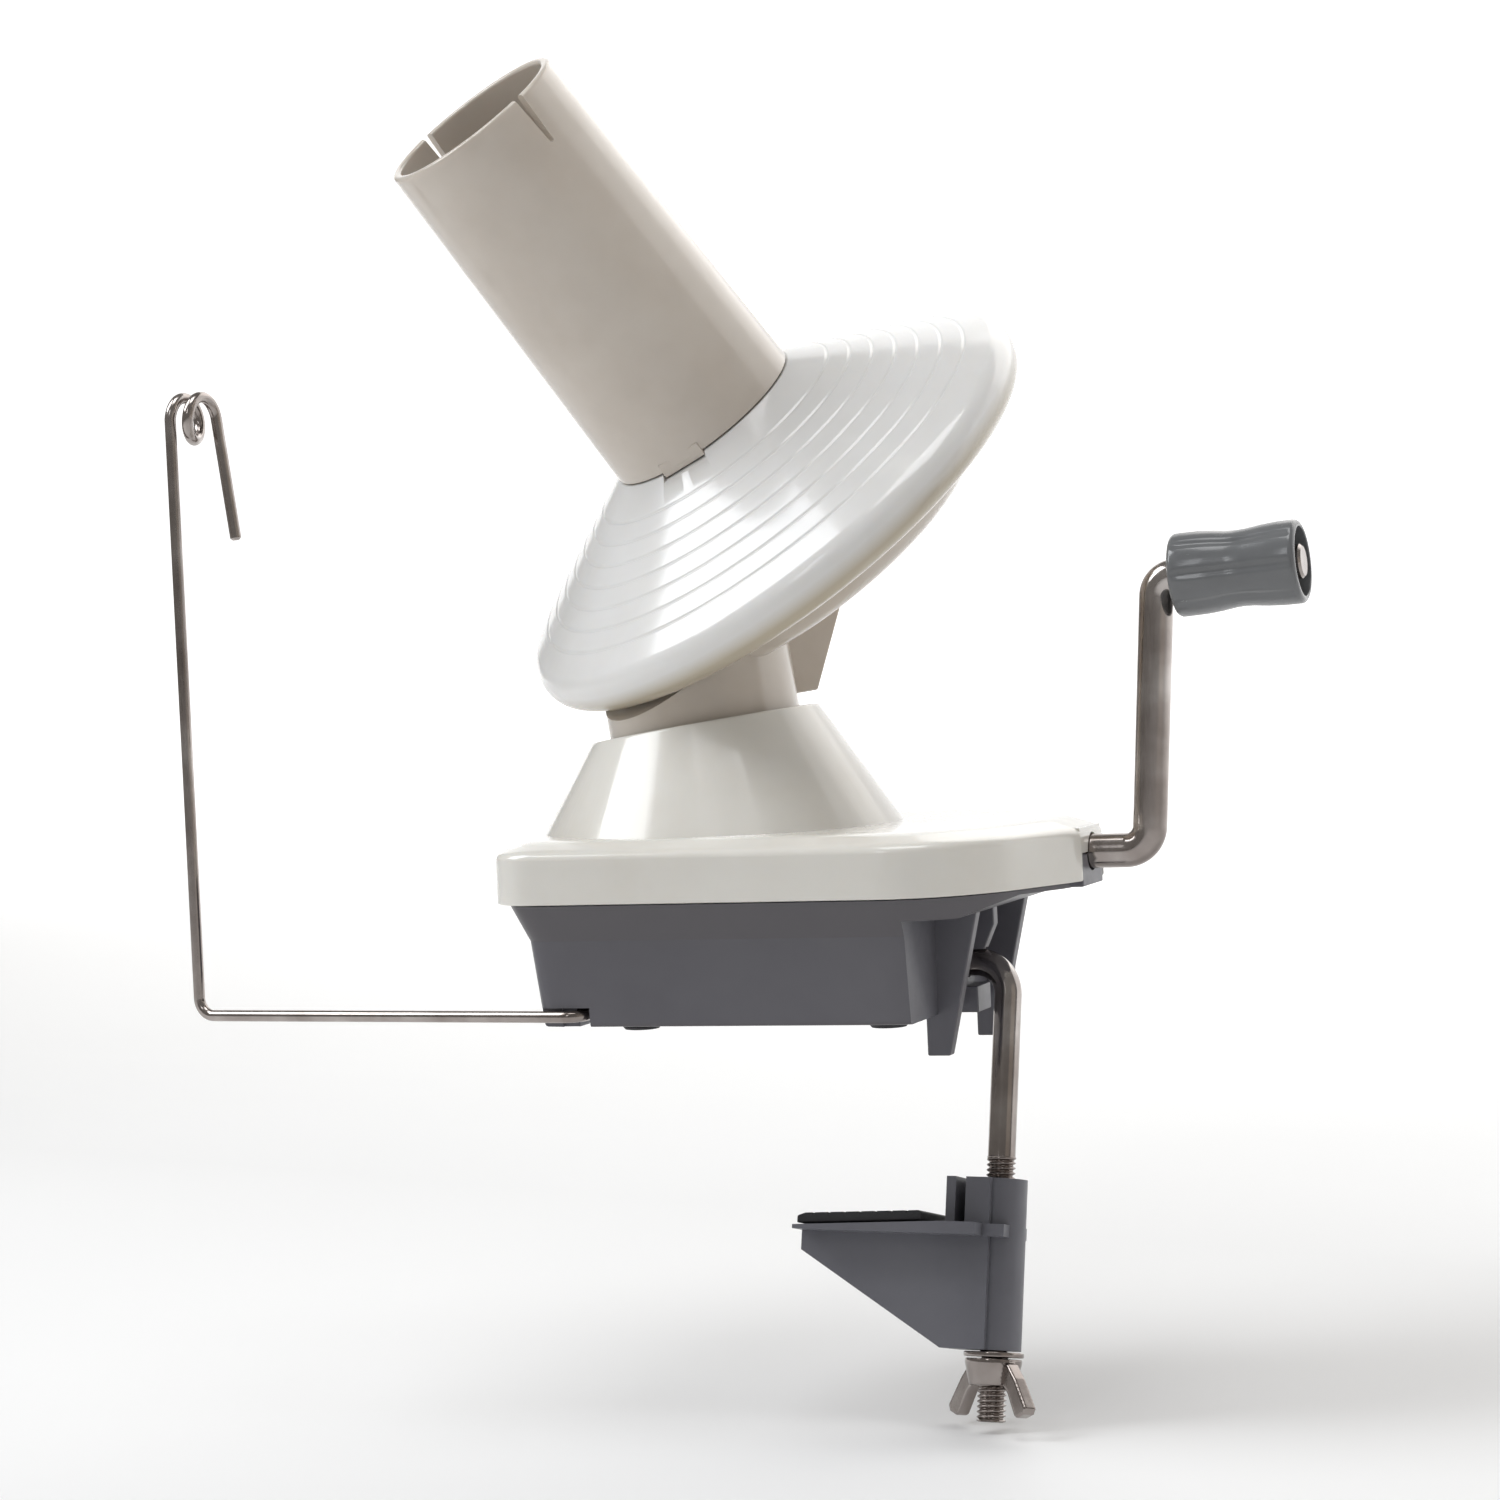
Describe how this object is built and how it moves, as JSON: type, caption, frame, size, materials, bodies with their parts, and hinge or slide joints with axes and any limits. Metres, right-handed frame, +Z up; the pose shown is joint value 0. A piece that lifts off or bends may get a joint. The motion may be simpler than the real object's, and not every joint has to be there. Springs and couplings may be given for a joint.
{
  "type": "hand-cranked ball winder",
  "caption": "Hand-cranked ball winder with a tilted winding tube on a wide flange, a geared turning head, a bent wire yarn guide and a screw table clamp.",
  "frame": {"origin": "the point of the base's flat underside that the axis of the turning head passes through", "axes": "+X towards the crank, +Z up at right angles to the underside, +Y away from the side where the yarn guide is hooked in"},
  "size_m": [0.2336, 0.12, 0.273],
  "materials": {
    "ivory_plastic": "glossy moulded plastic",
    "grey_plastic": "semi-gloss moulded plastic",
    "plated_steel": "bright nickel plate",
    "natural_nylon": "unpainted nylon",
    "brass": "turned",
    "black_rubber": "matt"
  },
  "bodies": {
    "base": {"bottom_case": "grey_plastic", "top_case": "ivory_plastic", "case_screw_1": "plated_steel", "case_screw_2": "plated_steel", "case_screw_3": "plated_steel", "case_screw_4": "plated_steel", "rubber_foot_1": "black_rubber", "rubber_foot_2": "black_rubber", "rubber_foot_3": "black_rubber", "rubber_foot_4": "black_rubber", "crank_bush": "brass", "fixed_post": "plated_steel", "post_pin": "plated_steel", "fixed_gear": "natural_nylon", "fixed_gear_screw": "plated_steel", "thrust_washer": "natural_nylon"},
    "crank": {"crank_rod": "plated_steel", "crank_gear": "natural_nylon", "gear_pin": "plated_steel", "crank_collar": "plated_steel", "handle_retainer": "plated_steel"},
    "handle": {"crank_handle": "grey_plastic"},
    "carrier": {"carrier": "ivory_plastic", "neck_bush": "brass", "drive_pinion": "natural_nylon", "pinion_screw_1": "plated_steel", "pinion_screw_2": "plated_steel", "spindle_pin": "plated_steel", "spindle_washer": "plated_steel", "spindle_screw": "plated_steel"},
    "spindle": {"flange": "ivory_plastic", "winding_tube": "ivory_plastic", "tube_gear": "natural_nylon", "tube_gear_screw_1": "plated_steel", "tube_gear_screw_2": "plated_steel", "tube_gear_screw_3": "plated_steel"},
    "guide": {"yarn_guide": "plated_steel"},
    "clamp": {"clamp_rod": "plated_steel", "clamp_ring": "plated_steel"},
    "jaw": {"clamp_jaw": "grey_plastic", "jaw_pad": "black_rubber", "clamp_washer": "plated_steel"},
    "wing_nut": {"wing_nut": "plated_steel"}
  },
  "joints": [
    {"name": "crank_turn", "type": "hinge", "parent": "base", "child": "crank", "pos_m": [0, 0, 0.03], "axis": [1, 0, 0], "continuous": true},
    {"name": "handle_spin", "type": "hinge", "parent": "crank", "child": "handle", "pos_m": [0.0871, 0, 0.08297], "axis": [0.9976, 0, 0.0698], "continuous": true},
    {"name": "carrier_turn", "type": "hinge", "parent": "base", "child": "carrier", "pos_m": [0, 0, 0], "axis": [-0.1392, 0, 0.9903], "continuous": true},
    {"name": "spindle_turn", "type": "hinge", "parent": "carrier", "child": "spindle", "pos_m": [-0.01937, 0, 0.13785], "axis": [-0.425, -0.4636, 0.7775], "continuous": true},
    {"name": "guide_fold", "type": "hinge", "parent": "base", "child": "guide", "pos_m": [-0.023, -0.03, 0.0022], "axis": [0, 1, 0], "range_deg": [-90, 0]},
    {"name": "clamp_swivel", "type": "hinge", "parent": "base", "child": "clamp", "pos_m": [0.04, 0, 0.0084], "axis": [1, 0, 0], "range_deg": [-10, 35]},
    {"name": "jaw_slide", "type": "slide", "parent": "clamp", "child": "jaw", "axis": [0.0209, 0.2198, 0.9753], "range_m": [-0.006, 0.022]},
    {"name": "wing_nut_turn", "type": "hinge", "parent": "jaw", "child": "wing_nut", "pos_m": [0.05395, 0, 0.0084], "axis": [0.0209, 0.2198, 0.9753], "range_deg": [-2160, 7920]}
  ],
  "couplings": [
    {"joint": "carrier_turn", "follows": "crank_turn", "ratio": -3},
    {"joint": "spindle_turn", "follows": "crank_turn", "ratio": -1.2},
    {"joint": "jaw_slide", "follows": "wing_nut_turn", "m_per_rad": 0.00015915}
  ]
}
